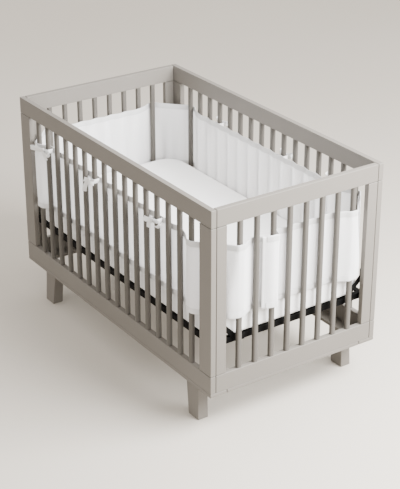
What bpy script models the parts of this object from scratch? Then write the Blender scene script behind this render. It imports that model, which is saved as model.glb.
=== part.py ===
"""A mesh crib liner woven round the slats of its crib, with the mattress and its support.

Metres, +Z up.  The origin is on the floor under the middle of the crib.  X runs along
the crib, the bows that are tied at the front face -Y, and the liner's two ends lap
over each other on the +X end.
"""
import math

import bmesh
import bpy
import numpy as np

# ---------------------------------------------------------------- driving dimensions
# Crib
CRIB_LENGTH = 1.365
CRIB_WIDTH = 0.756
CRIB_HEIGHT = 0.883
BOARD = 0.022                  # thickness of rails and posts
FRAME_LOW = 0.154              # underside of the base boards
BASE_BOARD_HEIGHT = 0.014
BASE_BOARD_WIDTH = 0.071
BOTTOM_RAIL_HEIGHT = 0.070
TOP_RAIL_HEIGHT = 0.066
LONG_POST = 0.072              # width of a long side's post
SHORT_POST = 0.044             # width of an end's post
LONG_SLATS = 16
SHORT_SLATS = 8
SLAT_WIDTH = 0.021
SLAT_DEPTH = 0.019
SLAT_CORNER = 0.0055
TENON = 0.008                  # how far a slat runs into its rail
JOINT_GAP = 0.0003             # between pieces that touch

# Legs: outer and inner edge along X, and along Y, at the top and on the floor
LEG_X_TOP = (0.571, 0.492)
LEG_X_FLOOR = (0.577, 0.514)
LEG_Y_TOP = (0.355, 0.3145)
LEG_Y_FLOOR = (0.360, 0.3145)

# Mattress and its support
MATTRESS_LENGTH = 1.296
MATTRESS_WIDTH = 0.688
MATTRESS_TOP = 0.478
MATTRESS_THICKNESS = 0.120
MATTRESS_CORNER = 0.080
MATTRESS_EDGE = 0.018
CORNER_STEPS = 6               # facets round each of its corners
SUPPORT_X = 0.650              # from the crib's middle to the support's outer faces
SUPPORT_Y = 0.3455
BAR_HEIGHT = 0.023
BAR_WIDTH = 0.020
HANGER_THICKNESS = 0.004
HANGER_SIDES = (0.212, 0.2412, 0.2453)   # inner side of its foot, and where the two slopes start
TAB_SIDES = (0.318, 0.350)               # of the tab beside the post
TAB_HEIGHTS = (0.4373, 0.4345, 0.462)    # where the lower and the upper slope end, and the tab's top
SPACER = (0.324, 0.344, 0.438, 0.458)    # block between the tab and the post: its sides and heights

# Liner
PANEL_THICKNESS = 0.0020
BINDING_THICKNESS = 0.0032
LINER_LOW = 0.446
LINER_TOP = 0.728
BINDING_HEIGHT = 0.022
END_BINDING_WIDTH = 0.014
PANEL_LEVELS = 4               # rows of points up the panel
PATH_STEPS = 2                 # points on each stretch of the path between two of its stops,
SHORT_STRETCH = 0.016          # and a stretch under this length has one
INSIDE_CLEARANCE = 0.0060      # liner's middle to the posts' inner faces
OUTSIDE_CLEARANCE = 0.0042     # liner's middle to the faces of the slats that it covers
LAP = 0.0050                   # between the middles of the two ends where they lap
UNDER_REACH = 0.012            # how far the end under the lap runs past the middle of its slat
OVER_REACH = 0.036             # how far the end over the lap runs past it, the other way,
OVER_IN = 0.0090               # and how far that end turns back in
LAP_SLAT = 2                   # the slat, counted from the front, where the ends lap
LAP_TURN = 0.0200              # how far past its middle the cloth over the lap turns in beside it,
LAP_INSIDE = 0.0310            # and where it is back inside the slats
SHOULDER = 0.003               # how far past a slat's edges the cloth still runs flat
ARCH = 0.0006                  # how far it stands out over the middle of a slat it covers
CORNER_CLEARANCE = 0.0062      # liner's middle to the mattress's rounded corner
CORNER_LOW_ENDS = ((0.6700, 0.2945), (0.5840, 0.3665))    # where the low path meets the corner
CORNER_TOP = ((0.6665, 0.2800), (0.6445, 0.2990), (0.6215, 0.3195), (0.6000, 0.3410), (0.5795, 0.3625))
FOLD_OUT = 0.0018              # how far the cloth stands out towards a slat it passes inside
FOLD_IN_LOW = 0.0022           # how far it stands in between two slats, beside the mattress
FOLD_IN_TOP = 0.0045           # and at the free upper edge

# Ribbon ties
RIBBON_WIDTH = 0.017
RIBBON_THICKNESS = 0.0012
TIE_HEIGHT = 0.7165            # middle of the ribbon that goes round the slat
SLAT_ROOM = 0.0022             # ribbon to slat
TIE_SLACK = 0.0006             # ribbon to the binding that it is sewn to
RIBBON_BEND = 0.004            # how much the ribbon cuts off at the slat's edges
KNOT_SIZE = (0.014, 0.011, 0.0195)
KNOT_INSET = 0.002             # knot's middle, in from the ribbon's side of the slat
LOOP_STEPS = 10
TAIL_STEPS = 4
TAIL_BEND = 1.3                # a free end leaves the knot level and then bends down

# Each tie: the slat it goes round, then its bow.  A loop is (reach, rise, depth, lean) and
# a free end is (reach, drop, depth), along the side, upwards or downwards, and outwards.
FRONT_TIES = (
    (1, (("loop", -0.084, -0.014, 0.014, 0.012), ("loop", 0.056, 0.006, 0.018, 0.006),
         ("end", 0.030, 0.034, 0.004))),
    (6, (("loop", -0.034, -0.016, 0.014, 0.006), ("loop", 0.052, 0.014, 0.020, 0.005),
         ("end", -0.032, 0.056, 0.006))),
    (12, (("loop", -0.032, -0.004, 0.024, 0.008), ("loop", 0.058, -0.002, 0.024, 0.005),
          ("end", -0.010, 0.032, 0.006))),
)
BACK_TIES = (
    (3, (("loop", -0.038, 0.008, 0.018, 0.006), ("loop", 0.042, 0.004, 0.020, 0.007),
         ("end", -0.020, 0.048, 0.006))),
    (9, (("loop", -0.042, 0.004, 0.020, 0.007), ("loop", 0.040, 0.008, 0.020, 0.006),
         ("end", 0.022, 0.052, 0.006))),
    (13, (("loop", -0.040, 0.006, 0.020, 0.007), ("loop", 0.044, 0.004, 0.022, 0.007),
          ("end", -0.018, 0.050, 0.006))),
)

TOP_RAIL_LOW = CRIB_HEIGHT - TOP_RAIL_HEIGHT
BOTTOM_RAIL_LOW = FRAME_LOW + BASE_BOARD_HEIGHT + JOINT_GAP
BOTTOM_RAIL_TOP = BOTTOM_RAIL_LOW + BOTTOM_RAIL_HEIGHT
SLAT_FACE = (BOARD - SLAT_DEPTH) / 2      # rail's face to the slat's face
INNER_X = CRIB_LENGTH / 2 - BOARD
INNER_Y = CRIB_WIDTH / 2 - BOARD


# ---------------------------------------------------------------- scene and materials
def clear_scene():
    for item in list(bpy.data.objects):
        bpy.data.objects.remove(item, do_unlink=True)


def make_material(name, colour, roughness, metallic=0.0):
    material = bpy.data.materials.new(name)
    material.use_nodes = True
    shader = material.node_tree.nodes["Principled BSDF"]
    shader.inputs["Base Color"].default_value = (*colour, 1.0)
    shader.inputs["Roughness"].default_value = roughness
    shader.inputs["Metallic"].default_value = metallic
    return material


def add_object(name, vertices, faces, material):
    """A closed mesh whose faces are turned outwards."""
    mesh = bpy.data.meshes.new(name)
    mesh.from_pydata([tuple(v) for v in vertices], [], faces)
    work = bmesh.new()
    work.from_mesh(mesh)
    bmesh.ops.recalc_face_normals(work, faces=work.faces)
    work.to_mesh(mesh)
    work.free()
    mesh.materials.append(material)
    item = bpy.data.objects.new(name, mesh)
    bpy.context.scene.collection.objects.link(item)
    return item


def box_shape(low, high):
    corners = [(x, y, z) for z in (low[2], high[2]) for y in (low[1], high[1]) for x in (low[0], high[0])]
    faces = [(0, 2, 3, 1), (4, 5, 7, 6), (0, 1, 5, 4), (2, 6, 7, 3), (0, 4, 6, 2), (1, 3, 7, 5)]
    return corners, faces


def prism_shape(outline, low, high):
    """An outline in plan, raised from low to high."""
    count = len(outline)
    vertices = [(x, y, z) for z in (low, high) for x, y in outline]
    sides = [(i, (i + 1) % count, count + (i + 1) % count, count + i) for i in range(count)]
    ends = [tuple(range(count))[::-1], tuple(range(count, 2 * count))]
    return vertices, sides + ends


def joined(shapes):
    """Several shapes as one list of vertices and faces."""
    vertices, faces = [], []
    for shape_vertices, shape_faces in shapes:
        start = len(vertices)
        vertices += list(shape_vertices)
        faces += [tuple(start + i for i in face) for face in shape_faces]
    return vertices, faces


def union_with(item, other):
    """Joins other to item, and keeps other as a hidden guide."""
    other.hide_render = True
    other.display_type = "WIRE"
    union = item.modifiers.new("union", "BOOLEAN")
    union.operation = "UNION"
    union.solver = "EXACT"
    union.use_self = True
    union.object = other


# ---------------------------------------------------------------- crib
def slat_positions(inner_span, count):
    """Middles of the slats of one side, with equal gaps between them and the posts."""
    gap = (inner_span - count * SLAT_WIDTH) / (count + 1)
    first = -inner_span / 2 + gap + SLAT_WIDTH / 2
    return [first + i * (gap + SLAT_WIDTH) for i in range(count)]


LONG_PLACES = slat_positions(CRIB_LENGTH - 2 * LONG_POST, LONG_SLATS)
SHORT_PLACES = slat_positions(2 * INNER_Y - 2 * SHORT_POST, SHORT_SLATS)


def slat_outline(middle, depth_middle):
    """A slat's section: a rectangle with its four edges taken off."""
    half_width, half_depth = SLAT_WIDTH / 2, SLAT_DEPTH / 2
    corner = SLAT_CORNER
    quarter = [(half_width, half_depth - corner), (half_width - corner, half_depth)]
    outline = []
    for sign_x, sign_y in ((1, 1), (-1, 1), (-1, -1), (1, -1)):
        points = [(sign_x * x, sign_y * y) for x, y in quarter]
        outline += points if sign_x * sign_y > 0 else points[::-1]
    return [(middle + x, depth_middle + y) for x, y in outline]


def crib_side(name, length, post_width, places, material):
    """Rails, posts and slats of one side, glued into one frame.

    The inner face is at y = 0 and the outer face at y = BOARD.
    """
    half = length / 2
    outer = [(-half, BOTTOM_RAIL_LOW), (half, BOTTOM_RAIL_LOW), (half, CRIB_HEIGHT), (-half, CRIB_HEIGHT)]
    opening = half - post_width
    inner = [(-opening, BOTTOM_RAIL_TOP), (opening, BOTTOM_RAIL_TOP),
             (opening, TOP_RAIL_LOW), (-opening, TOP_RAIL_LOW)]
    ring = outer + inner
    vertices = [(x, y, z) for y in (0.0, BOARD) for x, z in ring]
    faces = []
    for i in range(4):
        j = (i + 1) % 4
        faces += [(i, j, 4 + j, 4 + i), (8 + i, 12 + i, 12 + j, 8 + j)]
        faces += [(i, 8 + i, 8 + j, j), (4 + i, 4 + j, 12 + j, 12 + i)]
    frame = add_object(name, vertices, faces, material)
    slats = [prism_shape(slat_outline(place, BOARD / 2), BOTTOM_RAIL_TOP - TENON, TOP_RAIL_LOW + TENON)
             for place in places]
    union_with(frame, add_object(name + "_slats", *joined(slats), material))
    return frame


def place_side(frame, turn, distance):
    """Turns a side so that its outer face looks along turn, with its inner face at distance."""
    guide = frame.modifiers["union"].object
    for item in (frame, guide):
        item.rotation_euler = (0.0, 0.0, turn)
        item.location = (-math.sin(turn) * distance, math.cos(turn) * distance, 0.0)


def build_crib(paint):
    long_length = CRIB_LENGTH
    short_length = 2 * (INNER_Y - JOINT_GAP)
    short_post = SHORT_POST - JOINT_GAP
    for name, turn in (("crib_side_back", 0.0), ("crib_side_front", math.pi)):
        place_side(crib_side(name, long_length, LONG_POST, LONG_PLACES, paint), turn, INNER_Y)
    for name, turn in (("crib_end_near", -math.pi / 2), ("crib_end_far", math.pi / 2)):
        place_side(crib_side(name, short_length, short_post, SHORT_PLACES, paint), turn, INNER_X)

    half_length, half_width = CRIB_LENGTH / 2, CRIB_WIDTH / 2
    top = FRAME_LOW + BASE_BOARD_HEIGHT
    for name, sign in (("base_board_front", -1), ("base_board_back", 1)):
        edges = sorted((sign * half_width, sign * (half_width - BASE_BOARD_WIDTH)))
        low, high = (-half_length, edges[0], FRAME_LOW), (half_length, edges[1], top)
        add_object(name, *box_shape(low, high), paint)
    reach = half_width - BASE_BOARD_WIDTH - JOINT_GAP
    for name, sign in (("base_board_far", -1), ("base_board_near", 1)):
        edges = sorted((sign * half_length, sign * (half_length - BASE_BOARD_WIDTH)))
        low, high = (edges[0], -reach, FRAME_LOW), (edges[1], reach, top)
        add_object(name, *box_shape(low, high), paint)

    for name, sign_x, sign_y in (("leg_front_near", 1, -1), ("leg_front_far", -1, -1),
                                 ("leg_back_near", 1, 1), ("leg_back_far", -1, 1)):
        vertices = []
        for z, edges_x, edges_y in ((0.0, LEG_X_FLOOR, LEG_Y_FLOOR),
                                    (FRAME_LOW - JOINT_GAP, LEG_X_TOP, LEG_Y_TOP)):
            vertices += [(sign_x * x, sign_y * y, z) for y in edges_y for x in edges_x]
        add_object(name, vertices, box_shape((0, 0, 0), (1, 1, 1))[1], paint)


# ---------------------------------------------------------------- mattress and support
def rounded_rectangle(length, width, radius, steps):
    outline = []
    for corner, (sign_x, sign_y) in enumerate(((1, 1), (-1, 1), (-1, -1), (1, -1))):
        centre_x, centre_y = sign_x * (length / 2 - radius), sign_y * (width / 2 - radius)
        for step in range(steps + 1):
            angle = math.pi / 2 * (corner + step / steps)
            outline.append((centre_x + radius * math.cos(angle), centre_y + radius * math.sin(angle)))
    return outline


def build_mattress(sheet):
    """A slab with rounded corners in plan and rounded upper and lower edges."""
    bottom = MATTRESS_TOP - MATTRESS_THICKNESS
    rings = []
    for z_from, sign in ((bottom, -1), (MATTRESS_TOP, 1)):
        edge_steps = (0.0, 0.5, 1.0) if sign < 0 else (1.0, 0.5, 0.0)
        for part in edge_steps:
            angle = math.pi / 2 * part
            inset = MATTRESS_EDGE * (1 - math.sin(angle))
            rise = MATTRESS_EDGE * (1 - math.cos(angle))
            outline = rounded_rectangle(MATTRESS_LENGTH - 2 * inset, MATTRESS_WIDTH - 2 * inset,
                                        MATTRESS_CORNER - inset, CORNER_STEPS)
            rings.append([(x, y, z_from - sign * rise) for x, y in outline])
    count = len(rings[0])
    vertices = [point for ring in rings for point in ring]
    faces = [tuple(range(count)), tuple(range((len(rings) - 1) * count, len(rings) * count))]
    for row in range(len(rings) - 1):
        for i in range(count):
            j = (i + 1) % count
            faces.append((row * count + i, row * count + j, (row + 1) * count + j, (row + 1) * count + i))
    add_object("mattress", vertices, faces, sheet)


def build_support(metal):
    """Four bars under the mattress's edges and a hanger up to the post at each corner."""
    top = MATTRESS_TOP - MATTRESS_THICKNESS - JOINT_GAP
    low = top - BAR_HEIGHT
    for name, sign in (("support_bar_front", -1), ("support_bar_back", 1)):
        edges = sorted((sign * SUPPORT_Y, sign * (SUPPORT_Y - BAR_WIDTH)))
        add_object(name, *box_shape((-SUPPORT_X, edges[0], low), (SUPPORT_X, edges[1], top)), metal)
    reach = SUPPORT_Y - BAR_WIDTH - JOINT_GAP
    for name, sign in (("support_bar_far", -1), ("support_bar_near", 1)):
        edges = sorted((sign * SUPPORT_X, sign * (SUPPORT_X - BAR_WIDTH)))
        add_object(name, *box_shape((edges[0], -reach, low), (edges[1], reach, top)), metal)

    # Each hanger leaves the end bar's outer face, slopes up and ends in a tab, which a block
    # holds at its distance from the post.
    inner, upper_turn, lower_turn = HANGER_SIDES
    tab_inner, tab_outer = TAB_SIDES
    lower_slope_top, upper_slope_top, tab_top = TAB_HEIGHTS
    outline = [(inner, low), (lower_turn, low), (tab_outer, lower_slope_top), (tab_outer, tab_top),
               (tab_inner, tab_top), (tab_inner, upper_slope_top), (upper_turn, top), (inner, top)]
    faces_x = (SUPPORT_X + JOINT_GAP, SUPPORT_X + JOINT_GAP + HANGER_THICKNESS)
    for name, sign_x, sign_y in (("hanger_front_near", 1, -1), ("hanger_front_far", -1, -1),
                                 ("hanger_back_near", 1, 1), ("hanger_back_far", -1, 1)):
        vertices = [(sign_x * x, sign_y * y, z) for x in faces_x for y, z in outline]
        count = len(outline)
        faces = [(i, (i + 1) % count, count + (i + 1) % count, count + i) for i in range(count)]
        faces += [tuple(range(count)), tuple(range(count, 2 * count))]
        hanger = add_object(name, vertices, faces, metal)
        spacer_x = sorted((sign_x * (SUPPORT_X + HANGER_THICKNESS / 2), sign_x * (INNER_X - JOINT_GAP)))
        spacer_y = sorted((sign_y * SPACER[0], sign_y * SPACER[1]))
        low_corner, high_corner = zip(spacer_x, spacer_y, SPACER[2:])
        union_with(hanger, add_object(name + "_spacer", *box_shape(low_corner, high_corner), metal))


# ---------------------------------------------------------------- liner's path in plan
# A stop is where the path passes, in plan, low down beside the mattress and at the top.
def side_stops(places, inner_face, outside, tied=()):
    """Stops along one side, as (along, low offset, top offset) from the crib's middle.

    Inside a slat the cloth stands out a little, and between two slats it stands in.
    Over a slat on the outside, and behind a tied slat, it runs flat.
    """
    inside = inner_face - INSIDE_CLEARANCE
    over = inner_face + SLAT_FACE + SLAT_DEPTH + OUTSIDE_CLEARANCE
    half_pitch = (places[1] - places[0]) / 2
    shoulder = SLAT_WIDTH / 2 + SHOULDER
    stops = []
    for index, place in enumerate(places):
        if index in outside:
            stops += [(place - shoulder, over - ARCH, over - ARCH), (place, over, over),
                      (place + shoulder, over - ARCH, over - ARCH)]
        elif index in tied:
            stops += [(place + step, inside, inside) for step in (-shoulder, 0.0, shoulder)]
        else:
            stops.append((place, inside + FOLD_OUT, inside + FOLD_OUT))
        if index + 1 == len(places):
            break
        half_way = (inside + over) / 2
        if index == LAP_SLAT and index in outside:
            stops.append((place + LAP_TURN, half_way, half_way))
            stops.append((place + LAP_INSIDE, inside - FOLD_IN_LOW, inside - FOLD_IN_TOP))
        elif (index in outside) != (index + 1 in outside):
            stops.append((place + half_pitch, half_way, half_way))
        else:
            stops.append((place + half_pitch, inside - FOLD_IN_LOW, inside - FOLD_IN_TOP))
    return stops


def corner_stops():
    """Stops from an end's last gap to a long side's first gap, in the +X +Y quarter.

    Low down the cloth goes round the mattress's corner; its upper edge cuts across it.
    """
    radius = MATTRESS_CORNER + CORNER_CLEARANCE
    centre_x = MATTRESS_LENGTH / 2 - MATTRESS_CORNER
    centre_y = MATTRESS_WIDTH / 2 - MATTRESS_CORNER
    low = [CORNER_LOW_ENDS[0]]
    for degrees in (30, 45, 60):
        angle = math.radians(degrees)
        low.append((centre_x + radius * math.cos(angle), centre_y + radius * math.sin(angle)))
    low.append(CORNER_LOW_ENDS[1])
    return list(zip(low, CORNER_TOP))


def liner_stops():
    """All stops of the liner, from the end under the lap, round the crib, to the end over it."""
    ends_short, ends_long = (0, SHORT_SLATS - 1), (0, LONG_SLATS - 1)
    lap_place = SHORT_PLACES[LAP_SLAT]
    front = side_stops(LONG_PLACES, INNER_Y, ends_long, [slat for slat, bow in FRONT_TIES])
    back = side_stops(LONG_PLACES, INNER_Y, ends_long, [slat for slat, bow in BACK_TIES])
    far_end = side_stops(SHORT_PLACES, INNER_X, ends_short)
    lapped = side_stops(SHORT_PLACES, INNER_X, ends_short + (LAP_SLAT,))
    corner = corner_stops()

    def pair(x_low, y_low, x_top, y_top):
        return (x_low, y_low), (x_top, y_top)

    shoulder = SLAT_WIDTH / 2 + SHOULDER + ARCH
    start = lap_place + UNDER_REACH
    first_part = [s for s in lapped if s[0] < start]
    last_part = [s for s in lapped if s[0] >= lap_place - shoulder]
    stops = [pair(first_part[-1][1], start, first_part[-1][2], start)]
    stops += [pair(low, along, top, along) for along, low, top in first_part[::-1]]
    stops += [pair(x1, -y1, x2, -y2) for (x1, y1), (x2, y2) in corner]
    stops += [pair(along, -low, along, -top) for along, low, top in front[::-1]]
    stops += [pair(-x1, -y1, -x2, -y2) for (x1, y1), (x2, y2) in corner[::-1]]
    stops += [pair(-low, along, -top, along) for along, low, top in far_end]
    stops += [pair(-x1, y1, -x2, y2) for (x1, y1), (x2, y2) in corner]
    stops += [pair(along, low, along, top) for along, low, top in back]
    stops += [pair(x1, y1, x2, y2) for (x1, y1), (x2, y2) in corner[::-1]]
    for along, low, top in last_part[::-1]:
        lift = LAP if along <= lap_place + shoulder else 0.0
        stops.append(pair(low + lift, along, top + lift, along))
    end_x = last_part[0][1] + LAP - OVER_IN
    stops.append(pair(end_x, lap_place - OVER_REACH, end_x, lap_place - OVER_REACH))
    return stops


def smooth_path(stops, steps):
    """A curve through the stops: cubic between each two, with the slope of their neighbours.

    The slope at a stop is that of the chord between its neighbours, scaled to each
    stretch's own length.  Each stretch has the number of steps given for it.
    """
    points = np.array(stops)
    gaps = np.linalg.norm(np.diff(points, axis=0), axis=1)
    slopes = np.empty_like(points)
    slopes[1:-1] = (points[2:] - points[:-2]) / (gaps[1:] + gaps[:-1])[:, None]
    slopes[0] = (points[1] - points[0]) / gaps[0]
    slopes[-1] = (points[-1] - points[-2]) / gaps[-1]
    stretch = np.repeat(np.arange(len(gaps)), steps)
    t = np.concatenate([np.arange(count) / count for count in steps])[:, None]
    reach = gaps[stretch, None]
    curve = ((2 * t**3 - 3 * t**2 + 1) * points[stretch] + (3 * t**2 - 2 * t**3) * points[stretch + 1]
             + (t**3 - 2 * t**2 + t) * reach * slopes[stretch] + (t**3 - t**2) * reach * slopes[stretch + 1])
    return np.vstack([curve, points[-1:]])


def path_normals(path):
    """Unit vectors in plan that point away from the crib's middle."""
    tangent = np.gradient(path, axis=0)
    tangent /= np.linalg.norm(tangent, axis=1)[:, None]
    return np.stack([-tangent[:, 1], tangent[:, 0]], axis=1)


def path_at(low_path, top_path, height):
    """The path at a height: straight beside the mattress, then easing to the top's path."""
    share = np.clip((height - MATTRESS_TOP) / (LINER_TOP - MATTRESS_TOP), 0.0, 1.0)
    share = share * share * (3 - 2 * share)
    return low_path + (top_path - low_path) * share


def strip_shape(paths, heights, thickness):
    """A band that follows a path in plan, one path for each height."""
    outer, inner = [], []
    for path, height in zip(paths, heights):
        side = path_normals(path) * thickness / 2
        level = np.full((len(path), 1), height)
        outer.append(np.hstack([path + side, level]))
        inner.append(np.hstack([path - side, level]))
    rows, count = len(heights), len(paths[0])
    vertices = np.vstack(outer + inner)
    far = rows * count
    faces = []
    for row in range(rows - 1):
        for i in range(count - 1):
            a, b = row * count + i, row * count + i + 1
            c, d = b + count, a + count
            faces += [(a, b, c, d), (far + a, far + d, far + c, far + b)]
        for i in (0, count - 1):
            a, d = row * count + i, (row + 1) * count + i
            faces.append((a, far + a, far + d, d))
    top = (rows - 1) * count
    for i in range(count - 1):
        faces.append((i, far + i, far + i + 1, i + 1))
        faces.append((top + i, top + i + 1, far + top + i + 1, far + top + i))
    return vertices, faces


def build_liner(mesh_cloth, satin):
    stops = liner_stops()
    low_stops, top_stops = np.array(stops).transpose(1, 0, 2)
    lengths = np.linalg.norm(np.diff(low_stops, axis=0), axis=1)
    steps = np.where(lengths < SHORT_STRETCH, 1, PATH_STEPS)
    low_path = smooth_path(low_stops, steps)
    top_path = smooth_path(top_stops, steps)

    panel_low = LINER_LOW + BINDING_HEIGHT + JOINT_GAP
    panel_top = LINER_TOP - BINDING_HEIGHT - JOINT_GAP
    for name, heights, thickness, cloth in (
            ("liner_panel", np.linspace(panel_low, panel_top, PANEL_LEVELS), PANEL_THICKNESS, mesh_cloth),
            ("liner_top_binding", (LINER_TOP - BINDING_HEIGHT, LINER_TOP), BINDING_THICKNESS, satin),
            ("liner_bottom_binding", (LINER_LOW, LINER_LOW + BINDING_HEIGHT), BINDING_THICKNESS, satin)):
        paths = [path_at(low_path, top_path, height) for height in heights]
        add_object(name, *strip_shape(paths, heights, thickness), cloth)

    # The end over the lap is closed by a folded strip from top to bottom.
    end, before = top_path[-1], top_path[-2]
    along = (end - before) / np.linalg.norm(end - before)
    strip = np.array([end + along * JOINT_GAP, end + along * (JOINT_GAP + END_BINDING_WIDTH)])
    shape = strip_shape([strip, strip], (LINER_LOW, LINER_TOP), BINDING_THICKNESS)
    add_object("liner_end_binding", *shape, satin)


# ---------------------------------------------------------------- ribbon ties
def ribbon_shape(points, across, closed=False):
    """A flat ribbon along points; across is the unit direction of its width."""
    points, across = np.array(points), np.array(across, dtype=float)
    if closed:
        tangent = np.roll(points, -1, axis=0) - np.roll(points, 1, axis=0)
    else:
        tangent = np.gradient(points, axis=0)
    facing = np.cross(tangent, across)
    facing /= np.linalg.norm(facing, axis=1)[:, None]
    wide, thick = across * RIBBON_WIDTH / 2, facing * RIBBON_THICKNESS / 2
    sections = np.stack([points + wide + thick, points - wide + thick,
                         points - wide - thick, points + wide - thick], axis=1)
    count = len(points)
    faces = []
    for i in range(count if closed else count - 1):
        j = (i + 1) % count
        faces += [(4 * i + k, 4 * i + (k + 1) % 4, 4 * j + (k + 1) % 4, 4 * j + k) for k in range(4)]
    if not closed:
        faces += [(0, 1, 2, 3), (4 * count - 1, 4 * count - 2, 4 * count - 3, 4 * count - 4)]
    return sections.reshape(-1, 3), faces


def bow_loop(reach, rise, depth, lean, height):
    """One loop of a bow: a drop shape in plan whose narrow end is in the knot.

    The loop leans away from the crib by lean at its far end, and rises or droops by rise.
    """
    points = []
    for step in range(LOOP_STEPS):
        turn = 2 * math.pi * step / LOOP_STEPS
        out = (1 - math.cos(turn)) / 2
        swell = math.sin(turn) * math.sqrt(out)
        points.append((reach * out, lean * math.sqrt(out) + depth / 2 * swell, height + rise * out))
    return ribbon_shape(points, (0.0, 0.0, 1.0), closed=True)


def bow_tail(reach, drop, depth, height):
    """A free end: it leaves the knot, bends down and ends cut straight."""
    points = [(reach * t, depth * math.sin(math.pi * t), height - drop * t**TAIL_BEND)
              for t in np.linspace(0.0, 1.0, TAIL_STEPS + 1)]
    direction = np.array([reach, 0.0, -drop])
    across = np.cross(direction, (0.0, 1.0, 0.0))
    return ribbon_shape(points, across / np.linalg.norm(across))


def build_tie(name, place, side, bow, satin):
    """A ribbon round one slat of a long side, tied in a bow on the outside.

    The shape is made for a slat at x = 0 with the crib's middle towards -Y, then moved.
    """
    slat_out = INNER_Y + SLAT_FACE + SLAT_DEPTH
    round_low = INNER_Y - INSIDE_CLEARANCE + BINDING_THICKNESS / 2 + TIE_SLACK + RIBBON_THICKNESS / 2
    round_high = slat_out + SLAT_ROOM + RIBBON_THICKNESS / 2
    half = SLAT_WIDTH / 2 + SLAT_ROOM + RIBBON_THICKNESS / 2
    bend = RIBBON_BEND
    ring = [(-half, round_high - bend), (-half + bend, round_high), (half - bend, round_high),
            (half, round_high - bend), (half, round_low + bend), (half - bend, round_low),
            (-half + bend, round_low), (-half, round_low + bend)]
    shapes = [ribbon_shape([(x, y, TIE_HEIGHT) for x, y in ring], (0.0, 0.0, 1.0), closed=True)]

    knot_x = -half + KNOT_INSET
    knot_y = round_high + KNOT_SIZE[1] / 2 - RIBBON_THICKNESS / 4
    for kind, *sizes in bow:
        make = bow_loop if kind == "loop" else bow_tail
        vertices, faces = make(*sizes, TIE_HEIGHT)
        shapes.append((np.array(vertices) + (knot_x, knot_y, 0.0), faces))
    move = np.array([place, 0.0, 0.0])
    flip = np.array([1.0, float(side), 1.0])
    item = add_object(name, *joined([(np.array(v) * flip + move, f) for v, f in shapes]), satin)

    size = np.array(KNOT_SIZE)
    middle = np.array([knot_x, knot_y, TIE_HEIGHT]) * flip + move
    knot = add_object(name + "_knot", *box_shape(middle - size / 2, middle + size / 2), satin)
    union_with(item, knot)


def build_ties(satin):
    for label, side, ties in (("front", -1, FRONT_TIES), ("back", 1, BACK_TIES)):
        for number, (slat, bow) in enumerate(ties, start=1):
            build_tie(f"tie_{label}_{number}", LONG_PLACES[slat], side, bow, satin)


# ---------------------------------------------------------------- the whole part
clear_scene()
build_crib(make_material("crib_paint", (0.42, 0.40, 0.36), 0.45))
build_mattress(make_material("mattress_sheet", (0.86, 0.86, 0.87), 0.85))
build_support(make_material("support_metal", (0.02, 0.02, 0.02), 0.45, 0.6))
liner_satin = make_material("liner_satin", (0.80, 0.80, 0.80), 0.55)
build_liner(make_material("liner_mesh", (0.85, 0.85, 0.86), 0.80), liner_satin)
build_ties(liner_satin)
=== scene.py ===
"""A white mesh liner with satin bindings and ribbon bows, woven round the slats of its crib.

Metres, +Z up, with the origin on the floor under the middle of the crib.  X runs along
the crib, the bows that are tied at the front face -Y, and the liner's ends lap at +X.
"""
import math

import bpy
import numpy as np
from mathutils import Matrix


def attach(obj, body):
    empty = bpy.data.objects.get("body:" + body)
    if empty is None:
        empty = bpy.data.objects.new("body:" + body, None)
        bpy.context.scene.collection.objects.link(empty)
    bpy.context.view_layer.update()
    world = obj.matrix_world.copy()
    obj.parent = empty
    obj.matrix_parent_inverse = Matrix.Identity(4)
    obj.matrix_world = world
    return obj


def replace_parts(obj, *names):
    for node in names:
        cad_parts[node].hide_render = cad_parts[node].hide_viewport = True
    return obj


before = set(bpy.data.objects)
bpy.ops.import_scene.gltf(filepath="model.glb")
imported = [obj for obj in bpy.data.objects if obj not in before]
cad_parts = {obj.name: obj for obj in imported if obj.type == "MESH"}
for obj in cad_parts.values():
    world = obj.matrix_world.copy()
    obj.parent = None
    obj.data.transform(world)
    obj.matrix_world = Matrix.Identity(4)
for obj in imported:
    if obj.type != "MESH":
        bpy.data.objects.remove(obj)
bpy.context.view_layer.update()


# ------------------------------------------------------------------ the crib's four sides
# Each side is a flat frame of square-edged hardwood boards, 22 mm thick: a top rail, a
# bottom rail and two posts, glued and pegged, with rounded slats let into the rails.  The
# long sides run the whole length, and the short sides are screwed in between them.
CRIB_LENGTH, CRIB_WIDTH, CRIB_HEIGHT = 1.365, 0.756, 0.883
BOARD = 0.022                       # thickness of every rail and post
RAIL_LOW, RAIL_TOP = 0.1683, 0.2383             # bottom rail
HEAD_LOW = 0.817                                # underside of the top rail
LONG_POST, SHORT_POST = 0.072, 0.044            # widths of the posts
SLAT_WIDTH, SLAT_DEPTH, SLAT_ROUND = 0.021, 0.019, 0.0080
LONG_SLATS, SHORT_SLATS = 16, 8
TENON = 0.008                       # how far a slat runs into each rail
JOINT = 0.0018                      # open joint between two boards
EASED_EDGE = 0.0020                 # radius of a sanded edge
POST_LOW, POST_TOP = RAIL_TOP + JOINT, HEAD_LOW - JOINT
HALF_LENGTH, HALF_WIDTH = CRIB_LENGTH / 2, CRIB_WIDTH / 2
INNER_X, INNER_Y = HALF_LENGTH - BOARD, HALF_WIDTH - BOARD
SLAT_FACE = (BOARD + SLAT_DEPTH) / 2            # from a side's inner face to its slats' outer ones


def wire(tree, kind, inputs, **settings):
    """A shader node with its settings; an input is a value or another node's output."""
    made = tree.nodes.new(kind)
    for name, value in settings.items():
        setattr(made, name, value)
    for name, value in inputs.items():
        if isinstance(value, bpy.types.NodeSocket):
            tree.links.new(value, made.inputs[name])
        else:
            made.inputs[name].default_value = value
    return made


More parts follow.
